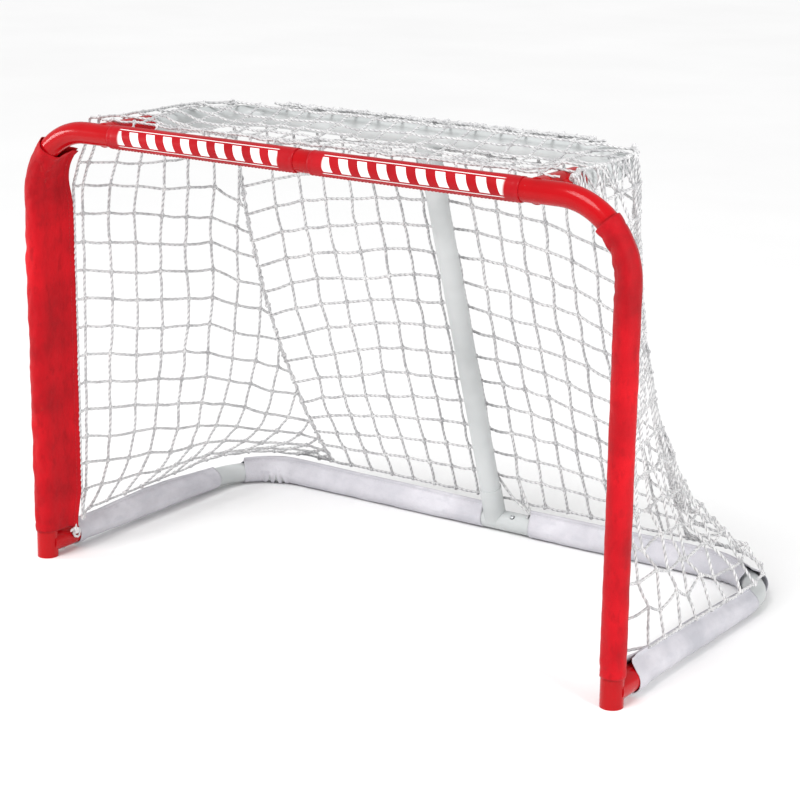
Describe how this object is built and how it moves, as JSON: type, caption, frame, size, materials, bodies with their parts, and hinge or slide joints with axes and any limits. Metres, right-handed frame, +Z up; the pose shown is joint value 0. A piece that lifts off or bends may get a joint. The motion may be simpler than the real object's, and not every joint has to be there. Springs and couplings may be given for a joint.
{
  "type": "hockey goal net",
  "caption": "Free-standing street hockey goal: bent steel tube front frame, base and top shelf in slip-joint sockets, with fabric sleeves and a knotted cord net.",
  "frame": {"origin": "on the floor at the middle of the footprint, between the posts and the rear bar", "axes": "+X along the goal line, to the right when looking into the mouth; the mouth faces -Y; +Z up"},
  "size_m": [0.921, 0.4934, 0.6134],
  "materials": {
    "red_paint": "gloss powder coat",
    "white_paint": "satin powder coat",
    "red_vinyl": "satin vinyl",
    "red_fabric": "coated woven polyester",
    "white_fabric": "woven polyester",
    "net_cord": "twisted polyester cord",
    "lace_cord": "braided cord",
    "black_plastic": "moulded",
    "spring_steel": "plain spring strip",
    "zinc_button": "zinc plated"
  },
  "bodies": {
    "root": {"base_support_socket": "white_paint", "centre_support": "white_paint", "crossbar_snap_spring": "spring_steel", "left_base_tube": "white_paint", "left_crossbar_wrap": "red_vinyl", "left_foot_plug": "black_plastic", "left_foot_snap_spring": "spring_steel", "left_foot_socket": "red_paint", "left_front_tube": "red_paint", "left_lace_loop": "lace_cord", "left_net_panel": "net_cord", "left_post_sleeve": "red_fabric", "left_seam_rope": "net_cord", "left_shelf_snap_spring": "spring_steel", "left_shelf_socket": "red_paint", "left_side_skirt": "white_fabric", "rear_bar_snap_spring": "spring_steel", "rear_left_skirt": "white_fabric", "rear_net_panel": "net_cord", "rear_right_skirt": "white_fabric", "right_base_tube": "white_paint", "right_crossbar_wrap": "red_vinyl", "right_foot_plug": "black_plastic", "right_foot_snap_spring": "spring_steel", "right_foot_socket": "red_paint", "right_front_tube": "red_paint", "right_lace_loop": "lace_cord", "right_net_panel": "net_cord", "right_post_sleeve": "red_fabric", "right_seam_rope": "net_cord", "right_shelf_snap_spring": "spring_steel", "right_shelf_socket": "red_paint", "right_side_skirt": "white_fabric", "shelf_rope": "net_cord", "shelf_support_socket": "white_paint", "shelf_tube": "white_paint", "top_net_panel": "net_cord"},
    "crossbar_button": {"crossbar_snap_button": "zinc_button"},
    "rear_bar_button": {"rear_bar_snap_button": "zinc_button"},
    "left_foot_button": {"left_foot_snap_button": "zinc_button"},
    "left_shelf_button": {"left_shelf_snap_button": "zinc_button"},
    "right_foot_button": {"right_foot_snap_button": "zinc_button"},
    "right_shelf_button": {"right_shelf_snap_button": "zinc_button"}
  },
  "joints": [
    {"name": "crossbar_button_press", "type": "hinge", "parent": "root", "child": "crossbar_button", "pos_m": [0.033, -0.2295, 0.58534], "axis": [0, 1, 0], "range_deg": [0, 6.7], "stiffness_Nm_per_rad": 0.6, "springref_deg": -2.86},
    {"name": "rear_bar_button_press", "type": "hinge", "parent": "root", "child": "rear_bar_button", "pos_m": [0.069, 0.22296, 0.02372], "axis": [0, -0.7547, -0.6561], "range_deg": [0, 6.7], "stiffness_Nm_per_rad": 0.6, "springref_deg": -2.86},
    {"name": "left_foot_button_press", "type": "hinge", "parent": "root", "child": "left_foot_button", "pos_m": [-0.4429, -0.16361, 0.00822], "axis": [-1, 0, 0], "range_deg": [0, 6.7], "stiffness_Nm_per_rad": 0.6, "springref_deg": -2.86},
    {"name": "left_shelf_button_press", "type": "hinge", "parent": "root", "child": "left_shelf_button", "pos_m": [-0.322, -0.1435, 0.58364], "axis": [-1, 0, 0], "range_deg": [0, 6.7], "stiffness_Nm_per_rad": 0.6, "springref_deg": -2.86},
    {"name": "right_foot_button_press", "type": "hinge", "parent": "root", "child": "right_foot_button", "pos_m": [0.4429, -0.16361, 0.00822], "axis": [-1, 0, 0], "range_deg": [0, 6.7], "stiffness_Nm_per_rad": 0.6, "springref_deg": -2.86},
    {"name": "right_shelf_button_press", "type": "hinge", "parent": "root", "child": "right_shelf_button", "pos_m": [0.322, -0.1435, 0.58364], "axis": [-1, 0, 0], "range_deg": [0, 6.7], "stiffness_Nm_per_rad": 0.6, "springref_deg": -2.86}
  ]
}
